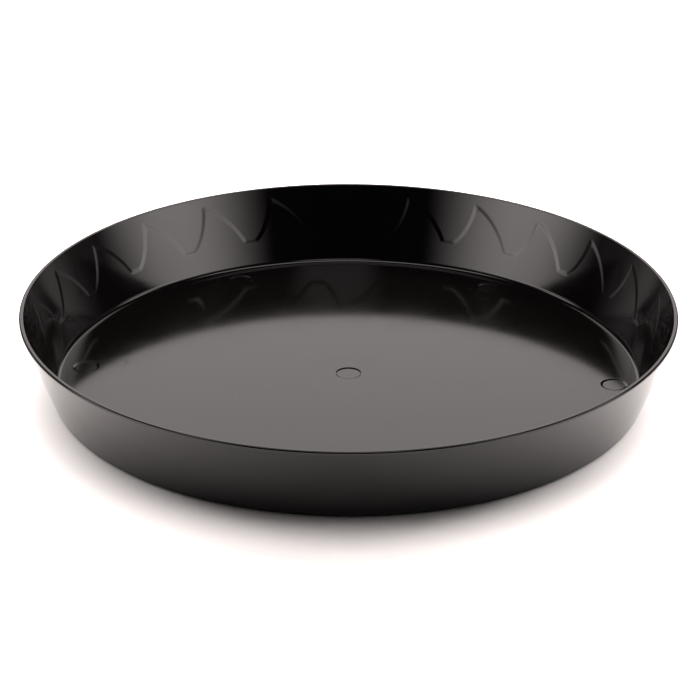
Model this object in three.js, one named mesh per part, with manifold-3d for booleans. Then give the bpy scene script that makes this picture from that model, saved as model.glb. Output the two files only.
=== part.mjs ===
// Round plant saucer, one injection-moulded shell. Millimetres, +Z up.
// The origin is the centre of the ring that the saucer stands on.
import * as THREE from "three";
import { mergeVertices } from "three/addons/utils/BufferGeometryUtils.js";
import Module from "manifold-3d";

// Driving dimensions
const rimRadius = 203.2; // outermost radius, just below the rim's top
const height = 50.8;
const rimWidth = 2.9; // across the rim's top
const rimOuterRound = 1.2;
const rimInnerRound = 0.5;
const outerLean = THREE.MathUtils.degToRad(20.9); // the wall leans out from vertical
const innerLean = THREE.MathUtils.degToRad(20.05); // slightly less, so the rim is thickest
const floorThickness = 1.8;
const floorCrown = 2.0; // rise of the floor from its edge to its middle
const baseOuterRound = 3.0;
const floorFillet = 4.5; // between the floor and the inside of the wall
const crownFlatRadius = 30; // the middle of the crowned floor is level

// Zigzag relief on the inside of the wall: everything below a zigzag line stands
// slightly proud, as a row of fins. Angles in degrees, clockwise as seen from above.
const waveCount = 26;
const wavePeriod = 360 / waveCount;
const waveStart = 167.2; // where the first wave's level bottom begins
const bottomSpan = 2.4;
const riseSpan = 3.6;
const bottomSlant = 34.0; // below the rim, along the wall
const apexSlant = 7.0;
const finHeight = 0.25; // how far a fin stands proud of the wall
const stepWidth = 3.4; // bevel between the wall and a fin

// Round marks that the mould leaves in the floor
const markRadius = 7.7;
const markCount = 6;
const markCircleRadius = 165.5;
const markStart = -4.2; // degrees
const markDepth = 0.5;
const markSides = 24;
const gateNubRadius = 2.5; // left under the middle of the floor by the gate
const gateNubHeight = 0.8;
const gateNubSides = 16;

// Mesh density
const filletSteps = 4;
const roundSteps = 3;
const crownRings = 4;

// ---------------------------------------------------------------- relief outline

const fallSpan = wavePeriod - bottomSpan - riseSpan;
const RISE_ARC = [25, 80]; // the part of a quarter ellipse that each stroke follows, degrees
const FALL_ARC = [20, 55];

// Height gained, 0 to 1, at the fraction x along a stretch of ellipse
function arcHeight(x, [startDegrees, endDegrees]) {
  const start = THREE.MathUtils.degToRad(startDegrees);
  const end = THREE.MathUtils.degToRad(endDegrees);
  const angle = Math.asin(THREE.MathUtils.lerp(Math.sin(start), Math.sin(end), x));
  return (Math.cos(start) - Math.cos(angle)) / (Math.cos(start) - Math.cos(end));
}

// Slant distance below the rim of the zigzag line, at an angle within one wave
function outlineSlant(angle) {
  const travel = bottomSlant - apexSlant;
  if (angle <= bottomSpan) {
    return bottomSlant;
  }
  if (angle <= bottomSpan + riseSpan) {
    return bottomSlant - travel * arcHeight((angle - bottomSpan) / riseSpan, RISE_ARC);
  }
  return apexSlant + travel * arcHeight((angle - bottomSpan - riseSpan) / fallSpan, FALL_ARC);
}

// Where the mesh has its columns within one wave: the ends of the strokes and
// some points along them. Even numbers of columns, because the floor and the
// outside use every second one.
const riseStops = [0.45, 0.8];
const fallStops = [0.3, 0.58, 0.83];
const columnOffsets = [
  0,
  bottomSpan,
  ...riseStops.map((x) => bottomSpan + x * riseSpan),
  bottomSpan + riseSpan,
  ...fallStops.map((x) => bottomSpan + riseSpan + x * fallSpan),
];

// All columns, anticlockwise, each with its angle and its place in its wave
function makeColumns() {
  const columns = [];
  for (let wave = 0; wave < waveCount; wave++) {
    for (const offset of columnOffsets) {
      const degrees = waveStart - wave * wavePeriod - offset;
      columns.push({ angle: THREE.MathUtils.degToRad(degrees), slant: outlineSlant(offset) });
    }
  }
  return columns.reverse();
}

const fineColumns = makeColumns();
const coarseColumns = fineColumns.filter((column, index) => index % 2 === 0);

// ---------------------------------------------------------------- profile

const floorTop = floorThickness;
const rimInnerRadius = rimRadius - rimWidth;

// Middle of the fillet, which touches the level floor edge and the leaning wall
const finEdge = finHeight / Math.cos(innerLean);
const innerCornerRadius = rimInnerRadius - finEdge - (height - floorTop) * Math.tan(innerLean);
const filletRadius = innerCornerRadius - (floorFillet * (1 - Math.sin(innerLean))) / Math.cos(innerLean);

// Middle of the round at the foot, which touches the ground and the outside of the wall
const rimRoundRadius = rimRadius - rimOuterRound;
const wallTopRadius = rimRoundRadius + rimOuterRound * Math.cos(outerLean);
const wallTopHeight = height - rimOuterRound - rimOuterRound * Math.sin(outerLean);
const outerCornerRadius = wallTopRadius - wallTopHeight * Math.tan(outerLean);
const footRadius = outerCornerRadius - (baseOuterRound * (1 - Math.sin(outerLean))) / Math.cos(outerLean);

// Rise of the crowned floor at a radius, level in the middle
function crownAt(radius) {
  const r = Math.max(radius, crownFlatRadius);
  const span = filletRadius ** 2 - crownFlatRadius ** 2;
  return (floorCrown * (filletRadius ** 2 - r ** 2)) / span;
}

// A ring of points, the same at every column
function evenRing(radius, z, columns = coarseColumns) {
  return columns.map(({ angle }) => pointAt(angle, radius, z));
}

function pointAt(angle, radius, z) {
  return new THREE.Vector3(radius * Math.cos(angle), radius * Math.sin(angle), z);
}

// A ring on the inside of the wall, or standing proud of it: slantOf gives the
// distance down the wall
function wallRing(slantOf, proud) {
  return fineColumns.map((column) => {
    const slant = slantOf(column);
    const radius = rimInnerRadius - slant * Math.sin(innerLean) - proud * Math.cos(innerLean);
    const z = height - slant * Math.cos(innerLean) + proud * Math.sin(innerLean);
    return pointAt(column.angle, radius, z);
  });
}

// Rings round an arc about (radius, z), from one angle to another, ends included
function arcRings(radius, z, size, from, to, steps) {
  const rings = [];
  for (let step = 0; step <= steps; step++) {
    const angle = THREE.MathUtils.lerp(from, to, step / steps);
    rings.push(evenRing(radius + size * Math.cos(angle), z + size * Math.sin(angle)));
  }
  return rings;
}

// Rings along the crowned floor, from its middle to its edge
function crownedRings(z) {
  const rings = [];
  for (let step = 0; step < crownRings; step++) {
    const radius = THREE.MathUtils.lerp(crownFlatRadius, filletRadius, step / crownRings);
    rings.push(evenRing(radius, z + crownAt(radius)));
  }
  return rings;
}

// ---------------------------------------------------------------- shell

// Every ring in order: up the inside from the middle of the floor, over the rim,
// down the outside and back to the middle of the underside
function shellRings() {
  const right = Math.PI / 2;
  const filletLength = floorFillet * Math.tan((right - innerLean) / 2);
  const finTop = height + finHeight * Math.sin(innerLean);
  const filletSlant = (finTop - floorTop) / Math.cos(innerLean) - filletLength;
  const filletZ = floorTop + floorFillet;
  const fillet = arcRings(filletRadius, filletZ, floorFillet, -right, -innerLean, filletSteps);
  fillet.pop();
  return [
    ...crownedRings(floorTop),
    ...fillet,
    wallRing(() => filletSlant, finHeight),
    wallRing((column) => column.slant + stepWidth / 2, finHeight),
    wallRing((column) => column.slant - stepWidth / 2, 0),
    wallRing(() => rimInnerRound, 0),
    evenRing(rimInnerRadius + rimInnerRound, height),
    ...arcRings(rimRoundRadius, height - rimOuterRound, rimOuterRound, right, -outerLean, roundSteps),
    ...arcRings(footRadius, baseOuterRound, baseOuterRound, -outerLean, -right, roundSteps),
    evenRing(filletRadius, 0),
    ...crownedRings(0).reverse(),
  ];
}

// Triangles between two rings, of the same number of columns or one to two
function stitch(inner, outer) {
  const triangles = [];
  const count = Math.min(inner.length, outer.length);
  const innerStep = inner.length / count;
  const outerStep = outer.length / count;
  for (let i = 0; i < count; i++) {
    const a = inner.slice(i * innerStep, (i + 1) * innerStep);
    const b = outer.slice(i * outerStep, (i + 1) * outerStep);
    a.push(inner[((i + 1) * innerStep) % inner.length]);
    b.push(outer[((i + 1) * outerStep) % outer.length]);
    for (let k = 1; k < b.length; k++) {
      triangles.push([a[0], b[k - 1], b[k]]);
    }
    for (let k = 1; k < a.length; k++) {
      triangles.push([a[k - 1], b[b.length - 1], a[k]]);
    }
  }
  return triangles;
}

// Triangles that close a ring to a point on the axis, wound as the ring or against it
function cap(ring, z, facesUp) {
  const middle = new THREE.Vector3(0, 0, z);
  return ring.map((point, i) => {
    const next = ring[(i + 1) % ring.length];
    return facesUp ? [middle, point, next] : [middle, next, point];
  });
}

function shellGeometry() {
  const rings = shellRings();
  const last = rings.length - 1;
  const triangles = [
    ...cap(rings[0], floorTop + floorCrown, true),
    ...rings.slice(1).flatMap((ring, i) => stitch(rings[i], ring)),
    ...cap(rings[last], floorCrown, false),
  ];
  return new THREE.BufferGeometry().setFromPoints(triangles.flat());
}

// ---------------------------------------------------------------- joins and cuts

const wasm = await Module();
wasm.setup();

// A closed geometry as a solid that can be joined and cut
function toSolid(geometry) {
  const bare = geometry.clone();
  bare.deleteAttribute("normal");
  bare.deleteAttribute("uv");
  const merged = mergeVertices(bare);
  const mesh = new wasm.Mesh({
    numProp: 3,
    vertProperties: new Float32Array(merged.attributes.position.array),
    triVerts: new Uint32Array(merged.index.array),
  });
  return new wasm.Manifold(mesh);
}

function toGeometry(solid) {
  const { vertProperties, triVerts } = solid.getMesh();
  const geometry = new THREE.BufferGeometry();
  geometry.setAttribute("position", new THREE.BufferAttribute(vertProperties, 3));
  geometry.setIndex(new THREE.BufferAttribute(triVerts, 1));
  geometry.computeVertexNormals();
  return geometry;
}

// An upright disc with its lowest and highest level given
function disc(x, y, radius, low, high, sides) {
  const geometry = new THREE.CylinderGeometry(radius, radius, high - low, sides);
  geometry.rotateX(Math.PI / 2);
  geometry.translate(x, y, (low + high) / 2);
  return toSolid(geometry);
}

// A shallow level-bottomed mark, centred at a radius and an angle of the floor
function floorMark(radius, degrees) {
  const angle = THREE.MathUtils.degToRad(degrees);
  const bottom = floorTop + crownAt(radius) - markDepth;
  const clearOfFloor = floorTop + floorCrown + floorThickness;
  const [x, y] = [radius * Math.cos(angle), radius * Math.sin(angle)];
  return disc(x, y, markRadius, bottom, clearOfFloor, markSides);
}

function saucerSolid() {
  let solid = toSolid(shellGeometry());
  solid = solid.subtract(floorMark(0, 0));
  for (let i = 0; i < markCount; i++) {
    solid = solid.subtract(floorMark(markCircleRadius, markStart + (360 / markCount) * i));
  }
  const nubTop = floorCrown + floorThickness / 2;
  return solid.add(disc(0, 0, gateNubRadius, floorCrown - gateNubHeight, nubTop, gateNubSides));
}

// ---------------------------------------------------------------- part

const blackPlastic = new THREE.MeshStandardMaterial({ color: 0x161415, roughness: 0.2, metalness: 0 });

const saucer = new THREE.Mesh(toGeometry(saucerSolid()), blackPlastic);
saucer.name = "saucer";

const part = new THREE.Group();
part.add(saucer);

export default part;
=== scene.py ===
"""Round plant saucer in glossy black plastic, on a pale floor in a soft studio.

Metres, +Z up. The origin is the middle of the ring that the saucer stands on.
"""

import math

import bpy
import numpy as np
from mathutils import Matrix, Vector
from mathutils.geometry import delaunay_2d_cdt


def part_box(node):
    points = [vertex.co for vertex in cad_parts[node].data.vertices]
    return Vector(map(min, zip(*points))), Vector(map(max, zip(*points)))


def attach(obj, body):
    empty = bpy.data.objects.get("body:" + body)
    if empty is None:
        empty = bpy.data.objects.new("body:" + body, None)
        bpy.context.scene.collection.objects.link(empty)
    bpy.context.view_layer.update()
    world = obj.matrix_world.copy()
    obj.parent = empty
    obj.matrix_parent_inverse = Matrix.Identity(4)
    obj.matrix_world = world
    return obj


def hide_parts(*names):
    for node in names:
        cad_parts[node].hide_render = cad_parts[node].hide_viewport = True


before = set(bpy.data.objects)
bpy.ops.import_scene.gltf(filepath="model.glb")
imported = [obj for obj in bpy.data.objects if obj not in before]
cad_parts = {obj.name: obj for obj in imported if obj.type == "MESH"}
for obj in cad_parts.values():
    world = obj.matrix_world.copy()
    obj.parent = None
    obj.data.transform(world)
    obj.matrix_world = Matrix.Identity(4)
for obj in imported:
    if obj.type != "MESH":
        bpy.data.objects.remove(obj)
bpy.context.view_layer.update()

# ---------------------------------------------------------------- dimensions

MM = 0.001

saucer_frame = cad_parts["saucer"]
rim_radius = max(math.hypot(v.co.x, v.co.y) for v in saucer_frame.data.vertices)
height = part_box("saucer")[1].z

rim_width = 2.9 * MM
rim_outer_round = 1.2 * MM
rim_inner_round = 0.5 * MM
outer_lean = math.radians(20.9)  # the wall leans out from vertical
inner_lean = math.radians(20.05)
floor_top = 1.8 * MM  # thickness of the floor
floor_crown = 2.0 * MM  # rise of the floor from its edge to its middle
crown_flat_radius = 30.0 * MM
base_round = 3.0 * MM
floor_fillet = 4.5 * MM

# Zigzag relief inside the wall. Angles in degrees, clockwise as seen from above.
wave_count = 26
wave_start = 167.2
wave_period = 360.0 / wave_count
bottom_span = 2.4
rise_span = 3.6
fall_span = wave_period - bottom_span - rise_span
bottom_slant = 34.0 * MM  # below the rim, along the wall
apex_slant = 7.0 * MM
fin_height = 0.25 * MM  # how far the fins below the line stand proud of the wall
step_width = 3.4 * MM  # bevel between the wall and a fin
RISE_ARC = (25, 80)  # the part of a quarter ellipse that each stroke follows, degrees
FALL_ARC = (20, 55)

# Round marks that the mould leaves in the floor, and the gate's nub under it
mark_radius = 7.7 * MM
mark_depth = 0.5 * MM
mark_edge = 1.6 * MM  # width of the slope round each mark
mark_count = 6
mark_circle_radius = 165.5 * MM
mark_start = -4.2  # degrees
nub_radius = 2.5 * MM
nub_height = 0.8 * MM
nub_edge = 0.6 * MM  # width of the slope round the nub

# Mesh density
COLUMNS = {"bottom": 6, "rise": 20, "fall": 16}  # in one wave, even in all
ARC_STEPS = 8
LINE_SAMPLES = 3000  # along three waves of the zigzag line
SLANT_SAMPLES = 240  # down the wall
STOP_SAMPLES = 400  # along one stretch of the line
FILLET_STEPS = 16
BEVEL_RINGS = 11
SPOT_SIDES = 48  # of each ring about a mark or the nub
MARK_RINGS = MM * np.array([0.9, 0.6, 0.4, 0.2, 0, -0.2, -0.4, -0.6, -0.9, -2.5, -5])  # off the mark's edge
NUB_RINGS = MM * np.array([0.6, 0.3, 0.15, 0, -0.15, -0.3, -0.6, -1.5])  # off the nub's edge

# ---------------------------------------------------------------- relief outline


def arc_height(x, arc):
    """Height gained, 0 to 1, at the fraction x along a stretch of ellipse."""
    start, end = np.radians(arc)
    angle = np.arcsin(np.sin(start) + np.clip(x, 0, 1) * (np.sin(end) - np.sin(start)))
    return (np.cos(start) - np.cos(angle)) / (np.cos(start) - np.cos(end))


def outline_slant(offset):
    """Distance of the zigzag line below the rim, at degrees within one wave."""
    travel = bottom_slant - apex_slant
    rise = bottom_slant - travel * arc_height((offset - bottom_span) / rise_span, RISE_ARC)
    fall = apex_slant + travel * arc_height((offset - bottom_span - rise_span) / fall_span, FALL_ARC)
    return np.where(offset < bottom_span + rise_span, rise, fall)


def degrees_to_length(degrees):
    """Length along the wall, at the middle of the relief."""
    middle = rim_radius - rim_width - (bottom_slant + apex_slant) / 2 * math.sin(inner_lean)
    return np.radians(degrees) * middle


def even_stops(start, end, count):
    """Degrees within one wave that part the line from start to end into equal lengths."""
    fine = np.linspace(start, end, STOP_SAMPLES, endpoint=False)
    steps = np.hypot(np.diff(degrees_to_length(fine)), np.diff(outline_slant(fine)))
    length = np.concatenate([[0], np.cumsum(steps)])
    return np.interp(np.linspace(0, length[-1], count, endpoint=False), length, fine)


def wave_columns():
    """Degrees within one wave where the mesh has its columns."""
    apex = bottom_span + rise_span
    return np.concatenate([
        even_stops(0, bottom_span, COLUMNS["bottom"]),
        even_stops(bottom_span, apex, COLUMNS["rise"]),
        even_stops(apex, wave_period, COLUMNS["fall"]),
    ])


def smooth(t):
    """0 to 1 with level ends."""
    t = np.clip(t, 0, 1)
    return t * t * (3 - 2 * t)


def smooth_slope(t):
    """The slope of smooth."""
    t = np.clip(t, 0, 1)
    return 6 * t * (1 - t)


line_at = np.linspace(-wave_period, 2 * wave_period, LINE_SAMPLES)
line_along = degrees_to_length(line_at)
line_down = outline_slant(line_at % wave_period)


def distance_above(along, slant):
    """Distance above the zigzag line, square to it, at a length along the wall and a slant."""
    away = np.hypot(line_along - along[..., None], line_down - slant[..., None]).min(-1)
    offset = along / degrees_to_length(1.0)
    return away * np.sign(outline_slant(offset % wave_period) - slant)


def level_slants(along, distances):
    """For each column, the slants at these distances above the zigzag line."""
    slants = np.linspace(apex_slant - 3 * step_width, bottom_slant + 3 * step_width, SLANT_SAMPLES)
    found = []
    for place in along:
        below = -distance_above(np.full_like(slants, place), slants)
        found.append(np.interp(-distances, below, slants))
    return np.array(found).T


def level_slopes(along, slant, nudge=0.05 * MM):
    """How fast the distance above the line grows along the wall and down it."""
    sideways = distance_above(along + nudge, slant) - distance_above(along - nudge, slant)
    downwards = distance_above(along, slant + nudge) - distance_above(along, slant - nudge)
    size = np.hypot(sideways, downwards) + 1e-12
    return sideways / size, downwards / size


offsets_in_wave = wave_columns()
column_angles = np.radians(np.concatenate([
    wave_start - wave * wave_period - offsets_in_wave for wave in range(wave_count)
]))

# ---------------------------------------------------------------- profile

rim_inner_radius = rim_radius - rim_width
fin_edge = fin_height / math.cos(inner_lean)
inner_corner_radius = rim_inner_radius - fin_edge - (height - floor_top) * math.tan(inner_lean)
floor_radius = inner_corner_radius - floor_fillet * (1 - math.sin(inner_lean)) / math.cos(inner_lean)
fillet_length = floor_fillet * math.tan((math.pi / 2 - inner_lean) / 2)
fin_top = height + fin_height * math.sin(inner_lean)
fillet_slant = (fin_top - floor_top) / math.cos(inner_lean) - fillet_length

rim_round_radius = rim_radius - rim_outer_round
wall_top_radius = rim_round_radius + rim_outer_round * math.cos(outer_lean)
wall_top = height - rim_outer_round * (1 + math.sin(outer_lean))
outer_corner_radius = wall_top_radius - wall_top * math.tan(outer_lean)
foot_radius = outer_corner_radius - base_round * (1 - math.sin(outer_lean)) / math.cos(outer_lean)


def crown_at(radius):
    """Rise of the crowned floor at a radius, level in the middle."""
    r = np.maximum(radius, crown_flat_radius)
    return floor_crown * (floor_radius**2 - r**2) / (floor_radius**2 - crown_flat_radius**2)


def ring(radius, z, out, up, along=0.0, step=1):
    """Points and normals round the axis at every column, or every second one with step 2."""
    angles = column_angles[::step]
    cos, sin = np.cos(angles), np.sin(angles)
    radius, z, out, up, along = (np.broadcast_to(v, angles.shape) for v in (radius, z, out, up, along))
    points = np.stack([radius * cos, radius * sin, z], -1)
    normals = np.stack([out * cos + along * sin, out * sin - along * cos, up], -1)
    return points, normals / np.linalg.norm(normals, axis=1)[:, None]


def wall_ring(slant, proud=0.0, down=0.0, along=0.0):
    """A ring on the inside of the wall, at a slant below the rim, standing proud of the wall.

    down and along say how fast it rises from the wall going down it and clockwise along it."""
    sin, cos = math.sin(inner_lean), math.cos(inner_lean)
    radius = rim_inner_radius - slant * sin - proud * cos
    z = height - slant * cos + proud * sin
    return ring(radius, z, -cos + down * sin, sin + down * cos, -along)


def arc_rings(radius, z, size, start, end, steps=ARC_STEPS, facing=1):
    """Rings round an arc about (radius, z), both ends included. facing is -1 on a hollow arc."""
    rings = []
    for angle in np.linspace(start, end, steps + 1):
        cos, sin = math.cos(angle), math.sin(angle)
        rings.append(ring(radius + size * cos, z + size * sin, facing * cos, facing * sin, step=2))
    return rings


def relief_rings():
    """Rings up the inside of the wall, which follow the bevel of the zigzag line."""
    along = degrees_to_length(offsets_in_wave)
    bevel_at = np.linspace(-0.5, 0.5, BEVEL_RINGS)
    bevel = level_slants(along, bevel_at * step_width)
    all_round = [np.tile(slant, wave_count) for slant in bevel]
    first, last = all_round[0], all_round[-1]
    parts = (0, 0.25, 0.5, 0.75)
    rings = [wall_ring(fillet_slant + part * (first - fillet_slant), fin_height) for part in parts]
    for part, slant, slants in zip(bevel_at, bevel, all_round):
        steep = -fin_height * smooth_slope(0.5 - part) / step_width
        sideways, downwards = (np.tile(steep * slope, wave_count) for slope in level_slopes(along, slant))
        rings.append(wall_ring(slants, fin_height * smooth(0.5 - part), downwards, sideways))
    return rings + [wall_ring(last + part * (rim_inner_round - last)) for part in (0.25, 0.5, 0.75, 1)]


def outside_rings():
    """Rings down the outside of the wall, between the rounds at the rim and the foot."""
    bottom_radius = foot_radius + base_round * math.cos(outer_lean)
    bottom = base_round * (1 - math.sin(outer_lean))
    return [
        ring(
            bottom_radius + part * (wall_top_radius - bottom_radius),
            bottom + part * (wall_top - bottom),
            math.cos(outer_lean),
            -math.sin(outer_lean),
            step=2,
        )
        for part in (0.8, 0.6, 0.4, 0.2)
    ]


def shell_rings():
    """Rings from the floor's edge up the inside, over the rim and down to the foot."""
    right = math.pi / 2
    fillet = arc_rings(
        floor_radius, floor_top + floor_fillet, floor_fillet, -right, -inner_lean, FILLET_STEPS, facing=-1
    )
    return [
        *fillet[:-1],
        *relief_rings(),
        *arc_rings(
            rim_inner_radius + rim_inner_round, height - rim_inner_round, rim_inner_round,
            2 * right - inner_lean, right, 4,
        ),
        *arc_rings(rim_round_radius, height - rim_outer_round, rim_outer_round, right, -outer_lean),
        *outside_rings(),
        *arc_rings(foot_radius, base_round, base_round, -outer_lean, -right),
        ring(floor_radius, 0, 0, -1, step=2),
    ]


# ---------------------------------------------------------------- mesh


def stitch(a, b):
    """Faces between two rings of vertices, of the same number or one to two."""
    count = min(len(a), len(b))
    faces = []
    for i in range(count):
        j = (i + 1) % count
        if len(a) == len(b):
            faces.append((a[i], a[j], b[j], b[i]))
        elif len(b) > len(a):
            middle = b[2 * i + 1]
            faces += [(a[i], middle, b[2 * i]), (a[i], a[j], middle), (a[j], b[2 * j], middle)]
        else:
            middle = a[2 * i + 1]
            faces += [(b[i], a[2 * i], middle), (b[i], middle, b[j]), (b[j], middle, a[2 * j])]
    return faces


def circle(centre, radius, count):
    """Plan points evenly round a circle."""
    angles = np.linspace(0, 2 * math.pi, count, endpoint=False)
    return np.stack([centre[0] + radius * np.cos(angles), centre[1] + radius * np.sin(angles)], -1)


def disc_plan(edge, spots, spot_radii, spacing=6.0 * MM):
    """Plan points of a disc inside an edge ring: even rings, with finer rings about each spot."""
    clear = max(spot_radii) + spacing / 2
    points = [edge]
    for radius in np.arange(floor_radius - spacing / 2, 0, -spacing):
        points.append(circle((0, 0), radius, max(8, round(2 * math.pi * radius / spacing))))
    inner = np.concatenate(points[1:])
    for spot in spots:
        inner = inner[np.hypot(*(inner - spot).T) > clear]
    rings = [circle(spot, radius, SPOT_SIDES) for spot in spots for radius in spot_radii]
    return np.concatenate([edge, inner, *rings, np.array(spots)])


def disc_mesh(plan, height_at, facing, nudge=0.02 * MM):
    """Points, normals and faces of a disc whose height is a function of its plan."""
    _, _, faces, inputs, *_ = delaunay_2d_cdt([Vector(p) for p in plan], [], [], 0, 1e-7)
    faces = [tuple(inputs[i][0] for i in face)[::facing] for face in faces]
    slope = [
        (height_at(plan + nudge * axis) - height_at(plan - nudge * axis)) / (2 * nudge) for axis in np.eye(2)
    ]
    normals = np.column_stack([-slope[0], -slope[1], np.ones(len(plan))]) * facing
    normals /= np.linalg.norm(normals, axis=1)[:, None]
    return np.column_stack([plan, height_at(plan)]), normals, faces


mark_places = [(0.0, 0.0)] + [
    (mark_circle_radius * math.cos(angle), mark_circle_radius * math.sin(angle))
    for angle in np.radians(mark_start + 360 / mark_count * np.arange(mark_count))
]


def floor_height(plan):
    """Level of the floor's top: crowned, with a level-bottomed round mark at each place."""
    z = floor_top + crown_at(np.hypot(*plan.T))
    for place in mark_places:
        level = floor_top + crown_at(math.hypot(*place)) - mark_depth
        inside = smooth((mark_radius - np.hypot(*(plan - place).T)) / mark_edge + 0.5)
        z += inside * (level - z)
    return z


def underside_height(plan):
    """Level of the underside: crowned, with the gate's nub in the middle."""
    r = np.hypot(*plan.T)
    return crown_at(r) - nub_height * smooth((nub_radius - r) / nub_edge + 0.5)


def saucer_mesh():
    """The whole shell as one closed mesh."""
    rings = shell_rings()
    starts = np.cumsum([0] + [len(points) for points, _ in rings])
    rows = [list(range(start, end)) for start, end in zip(starts, starts[1:])]
    faces = [face for a, b in zip(rows, rows[1:]) for face in stitch(a, b)]
    vertices = np.concatenate([points for points, _ in rings])
    normals = np.concatenate([normals for _, normals in rings])

    for row, spots, radii, height_at, facing in (
        (rows[0], mark_places, mark_radius + MARK_RINGS, floor_height, 1),
        (rows[-1], [(0.0, 0.0)], nub_radius + NUB_RINGS, underside_height, -1),
    ):
        plan = disc_plan(vertices[row, :2], spots, radii)
        points, disc_normals, triangles = disc_mesh(plan, height_at, facing)
        index = row + list(range(len(vertices), len(vertices) + len(points) - len(row)))
        vertices = np.concatenate([vertices, points[len(row):]])
        normals = np.concatenate([normals, disc_normals[len(row):]])
        faces += [tuple(index[i] for i in triangle) for triangle in triangles]

    mesh = bpy.data.meshes.new("saucer_shell")
    mesh.from_pydata(vertices.tolist(), [], faces)
    mesh.shade_smooth()
    mesh.normals_split_custom_set_from_vertices(normals.tolist())
    return mesh


# ---------------------------------------------------------------- materials


class Nodes:
    """A material's node tree, with a short way to add and link nodes."""

    def __init__(self, name):
        self.material = bpy.data.materials.new(name)
        self.material.use_nodes = True
        self.tree = self.material.node_tree
        self.tree.nodes.clear()
        self.output = self.tree.nodes.new("ShaderNodeOutputMaterial")

    def add(self, kind, settings=None, **inputs):
        """A node with its settings and inputs; an input is a value or another node's output."""
        node = self.tree.nodes.new(kind)
        for key, value in (settings or {}).items():
            setattr(node, key, value)
        for key, value in inputs.items():
            socket = node.inputs[int(key[1:])] if key[0] == "_" else node.inputs[key.replace("_", " ")]
            if isinstance(value, bpy.types.NodeSocket):
                self.tree.links.new(value, socket)
            else:
                socket.default_value = value
        return node

    def math(self, operation, a, b=0.0):
        return self.add("ShaderNodeMath", {"operation": operation}, _0=a, _1=b).outputs[0]

    def noise(self, vector, scale, detail=2.0, roughness=0.5):
        return self.add(
            "ShaderNodeTexNoise", Vector=vector, Scale=scale, Detail=detail, Roughness=roughness
        ).outputs[0]

    def remap(self, value, low, high, to_low, to_high):
        node = self.add("ShaderNodeMapRange", _0=value, _1=low, _2=high, _3=to_low, _4=to_high)
        return node.outputs[0]

    def hairlines(self, vector, scale, width):
        """1 on thin wandering lines, 0 elsewhere: the level lines of a broad noise."""
        level = self.math("ABSOLUTE", self.math("SUBTRACT", self.noise(vector, scale, 1.0), 0.5))
        return self.remap(level, 0.0, width, 1.0, 0.0)


def plastic_material():
    """Glossy black moulded plastic: orange peel, flow rings, hairline scuffs and a little dust."""
    nodes = Nodes("gloss_black_plastic")
    place = nodes.add("ShaderNodeTexCoord").outputs["Object"]

    peel = nodes.noise(place, 260.0, 2.0)
    sink = nodes.noise(place, 22.0, 1.0)
    smudge = nodes.noise(place, 38.0, 4.0, 0.6)
    grain = nodes.noise(place, 2400.0, 2.0)

    # Scuffs: hairlines, kept to a few patches
    patches = nodes.remap(nodes.noise(place, 17.0, 2.0), 0.52, 0.66, 0.0, 1.0)
    scuffs = nodes.math("MULTIPLY", nodes.hairlines(place, 31.0, 0.004), patches)

    # Dust: small specks on upward faces
    specks = nodes.add("ShaderNodeTexVoronoi", Vector=place, Scale=230.0).outputs["Distance"]
    speck = nodes.remap(specks, 0.03, 0.06, 1.0, 0.0)
    normal = nodes.add("ShaderNodeNewGeometry").outputs["Normal"]
    up = nodes.add("ShaderNodeSeparateXYZ", Vector=normal).outputs[2]
    dust = nodes.math("MULTIPLY", speck, nodes.remap(up, 0.5, 0.9, 0.0, 1.0))

    # Flow rings about the gate
    flat = nodes.add("ShaderNodeVectorMath", {"operation": "MULTIPLY"}, _0=place, _1=(1.0, 1.0, 0.0))
    radius = nodes.add("ShaderNodeVectorMath", {"operation": "LENGTH"}, _0=flat.outputs[0]).outputs["Value"]
    ripple = nodes.math("SINE", nodes.math("MULTIPLY", radius, 2 * math.pi / (5.5 * MM)))
    near_gate = nodes.remap(radius, 16 * MM, 42 * MM, 1.0, 0.0)
    rings = nodes.math("MULTIPLY", ripple, near_gate)

    colour = nodes.add(
        "ShaderNodeMix",
        {"data_type": "RGBA"},
        _0=smudge,
        _6=(0.0012, 0.001, 0.001, 1.0),
        _7=(0.0022, 0.0018, 0.0018, 1.0),
    ).outputs[2]
    dusty = nodes.add(
        "ShaderNodeMix",
        {"data_type": "RGBA"},
        _0=nodes.math("MULTIPLY", dust, 0.5),
        _6=colour,
        _7=(0.09, 0.085, 0.08, 1.0),
    ).outputs[2]

    smooth_part = nodes.remap(smudge, 0.3, 0.7, 0.07, 0.1)
    roughness = nodes.math("ADD", smooth_part, nodes.math("MULTIPLY", scuffs, 0.1))
    roughness = nodes.math("ADD", roughness, nodes.math("MULTIPLY", dust, 0.3))
    # The level floor is a little less glossy than the wall
    roughness = nodes.math("ADD", roughness, nodes.remap(up, 0.9, 0.99, 0.0, 0.035))

    # Heights in thousandths of a millimetre
    relief = nodes.math("MULTIPLY", sink, 40.0)
    relief = nodes.math("ADD", relief, nodes.math("MULTIPLY", peel, 3.0))
    relief = nodes.math("ADD", relief, nodes.math("MULTIPLY", grain, 0.25))
    relief = nodes.math("ADD", relief, nodes.math("MULTIPLY", rings, 4.0))
    relief = nodes.math("SUBTRACT", relief, nodes.math("MULTIPLY", scuffs, 2.0))
    bump = nodes.add("ShaderNodeBump", Strength=1.0, Distance=0.001 * MM, Height=relief)

    shader = nodes.add(
        "ShaderNodeBsdfPrincipled", Base_Color=dusty, Roughness=roughness, IOR=1.5, Normal=bump.outputs[0]
    )
    nodes.tree.links.new(shader.outputs[0], nodes.output.inputs[0])
    return nodes.material


# ---------------------------------------------------------------- saucer

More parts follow.
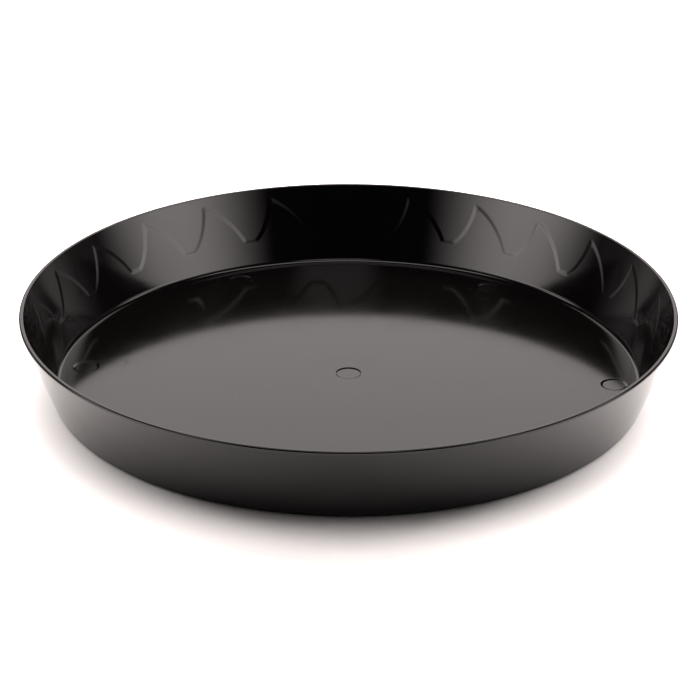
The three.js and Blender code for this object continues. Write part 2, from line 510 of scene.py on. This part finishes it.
saucer = bpy.data.objects.new("saucer_shell", saucer_mesh())
bpy.context.scene.collection.objects.link(saucer)
saucer.data.materials.append(plastic_material())
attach(saucer, "root")
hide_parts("saucer")

# ---------------------------------------------------------------- studio

STUDIO_WARMTH = (1.0, 0.93, 0.91)
PAPER_WHITE = 1.1  # radiance of what lies behind the saucer
FLOOR_FADE = (0.8, 1.7)  # radii between which the floor fades to plain white
ACROSS, UP = 0, 1  # axes of a glowing card


def plane(name, size, place, material):
    """A stage rectangle facing along its own +Z."""
    mesh = bpy.data.meshes.new(name)
    x, y = size[0] / 2, size[1] / 2
    mesh.from_pydata([(-x, -y, 0), (x, -y, 0), (x, y, 0), (-x, y, 0)], [], [(0, 1, 2, 3)])
    mesh.materials.append(material)
    made = bpy.data.objects.new(name, mesh)
    made.matrix_world = place
    bpy.context.scene.collection.objects.link(made)
    return made


def studio_floor():
    """A pale floor that fades to plain white far from the saucer, so that no horizon shows."""
    nodes = Nodes("pale_floor")
    place = nodes.add("ShaderNodeTexCoord").outputs["Object"]
    tint = nodes.add(
        "ShaderNodeMix",
        {"data_type": "RGBA"},
        _0=nodes.noise(place, 3.0),
        _6=(0.86, 0.85, 0.845, 1.0),
        _7=(0.88, 0.875, 0.87, 1.0),
    ).outputs[2]
    shader = nodes.add("ShaderNodeBsdfPrincipled", Base_Color=tint, Roughness=0.9)
    white = nodes.add("ShaderNodeEmission", Color=(1.0, 1.0, 1.0, 1.0), Strength=PAPER_WHITE)
    radius = nodes.add("ShaderNodeVectorMath", {"operation": "LENGTH"}, _0=place).outputs["Value"]
    far = nodes.remap(radius, FLOOR_FADE[0], FLOOR_FADE[1], 0.0, 1.0)
    mixed = nodes.add("ShaderNodeMixShader", _0=far, _1=shader.outputs[0], _2=white.outputs[0])
    nodes.tree.links.new(mixed.outputs[0], nodes.output.inputs[0])
    plane("studio_floor", (12.0, 12.0), Matrix.Identity(4), nodes.material)


def softbox(name, azimuth, elevation, distance, size, radiance, fades=()):
    """A glowing card that faces the saucer, and that the camera doesn't see.

    The azimuth is from the camera's side, in degrees like the elevation. fades are (axis, side,
    part): towards that side of the card's own axis, the glow dies away over that part of it."""
    nodes = Nodes(name)
    place = nodes.add("ShaderNodeSeparateXYZ", Vector=nodes.add("ShaderNodeTexCoord").outputs["Object"])
    glow = radiance
    for axis, side, part in fades:
        from_edge = nodes.math("ADD", nodes.math("MULTIPLY", place.outputs[axis], -side / size[axis]), 0.5)
        kind = {"interpolation_type": "SMOOTHSTEP"}
        rise = nodes.add("ShaderNodeMapRange", kind, _0=from_edge, _1=0.0, _2=part, _3=0.0, _4=1.0)
        glow = nodes.math("MULTIPLY", glow, rise.outputs[0])
    light = nodes.add("ShaderNodeEmission", Color=(*STUDIO_WARMTH, 1.0), Strength=glow)
    nodes.tree.links.new(light.outputs[0], nodes.output.inputs[0])
    a, e = math.radians(azimuth), math.radians(elevation)
    towards = Vector((math.sin(a) * math.cos(e), -math.cos(a) * math.cos(e), math.sin(e)))
    turn = towards.to_track_quat("Z", "Y").to_matrix().to_4x4()
    card = plane(name, size, Matrix.Translation(towards * distance) @ turn, nodes.material)
    card.visible_camera = False
    return card


def studio_world():
    """Pale to the camera, and dim to everything that the saucer reflects."""
    world = bpy.data.worlds.new("studio")
    world.use_nodes = True
    tree = world.node_tree
    tree.nodes.clear()
    seen = tree.nodes.new("ShaderNodeBackground")
    seen.inputs["Color"].default_value = (1.0, 1.0, 1.0, 1.0)
    seen.inputs["Strength"].default_value = PAPER_WHITE
    dim = tree.nodes.new("ShaderNodeBackground")
    dim.inputs["Color"].default_value = (1.0, 0.95, 0.93, 1.0)
    dim.inputs["Strength"].default_value = 0.008
    mix = tree.nodes.new("ShaderNodeMixShader")
    tree.links.new(tree.nodes.new("ShaderNodeLightPath").outputs["Is Camera Ray"], mix.inputs[0])
    tree.links.new(dim.outputs[0], mix.inputs[1])
    tree.links.new(seen.outputs[0], mix.inputs[2])
    tree.links.new(mix.outputs[0], tree.nodes.new("ShaderNodeOutputWorld").inputs[0])
    bpy.context.scene.world = world


def both_ends(axis, part):
    """Fades over a part of a card at both ends of one of its axes."""
    return [(axis, 1, part), (axis, -1, part)]


def studio_lights():
    """Cards that the plastic reflects, and fill cards that give light but don't show in reflections.

    The side boxes and the rim cards are reflected but give no diffuse light."""
    soft_edges = both_ends(ACROSS, 0.3) + both_ends(UP, 0.3)
    softbox("back_card", 180, 24, 3.2, (2.8, 2.6), 1.6, both_ends(ACROSS, 0.2))
    softbox("top_box", 180, 87, 2.4, (2.8, 0.9), 2.6, both_ends(UP, 0.3))
    softbox("front_card", 8, 62, 2.2, (1.1, 0.8), 1.6, soft_edges)
    for side in (-1, 1):
        side_fades = [(ACROSS, -side, 0.5), (ACROSS, side, 0.44), (UP, -1, 0.5), (UP, 1, 0.78)]
        side_box = softbox(f"side_box_{side}", 70 * side, 21, 2.2, (3.44, 1.8), 5.2, side_fades)
        side_box.visible_diffuse = False
        rim_card = softbox(f"rim_card_{side}", 104 * side, 33, 2.2, (0.9, 0.6), 3.0, soft_edges)
        rim_card.visible_diffuse = False
        softbox(f"far_side_{side}", 118 * side, 14, 2.7, (2.0, 2.0), 0.1, both_ends(ACROSS, 0.2))
        side_fill = softbox(f"side_fill_{side}", 125 * side, 25, 0.9, (0.8, 0.6), 11.0 + 2.0 * side)
        side_fill.visible_glossy = False
    overhead_fill = softbox("overhead_fill", 180, 90, 2.0, (1.6, 1.6), 5.4)
    overhead_fill.visible_glossy = False
    back_fill = softbox("back_fill", 180, 38, 2.8, (3.4, 2.0), 9.0)
    back_fill.visible_glossy = False


# ---------------------------------------------------------------- camera

LENS = 150.7  # millimetres, on a sensor 36 mm wide
CAMERA_ELEVATION = math.radians(23.96)
CAMERA_DISTANCE = 8.92 * rim_radius
CAMERA_ROLL = math.radians(0.16)
AIM_RIGHT = 0.9 * MM
AIM_BELOW_RIM = 31.2 * MM


def camera():
    """Long lens, well above the rim, looking just below the rim's middle."""
    data = bpy.data.cameras.new("camera")
    data.sensor_width = 36.0
    data.lens = LENS
    data.clip_start, data.clip_end = 0.05, 50.0
    made = bpy.data.objects.new("camera", data)
    bpy.context.scene.collection.objects.link(made)
    back = -CAMERA_DISTANCE * math.cos(CAMERA_ELEVATION)
    made.location = (0.0, back, height + CAMERA_DISTANCE * math.sin(CAMERA_ELEVATION))
    aim = Vector((AIM_RIGHT, 0.0, height - AIM_BELOW_RIM))
    look = (aim - made.location).to_track_quat("-Z", "Y")
    made.rotation_euler = (look.to_matrix() @ Matrix.Rotation(CAMERA_ROLL, 3, "Z")).to_euler()
    bpy.context.scene.camera = made


studio_floor()
studio_world()
studio_lights()
camera()
bpy.context.scene.view_settings.view_transform = "Standard"
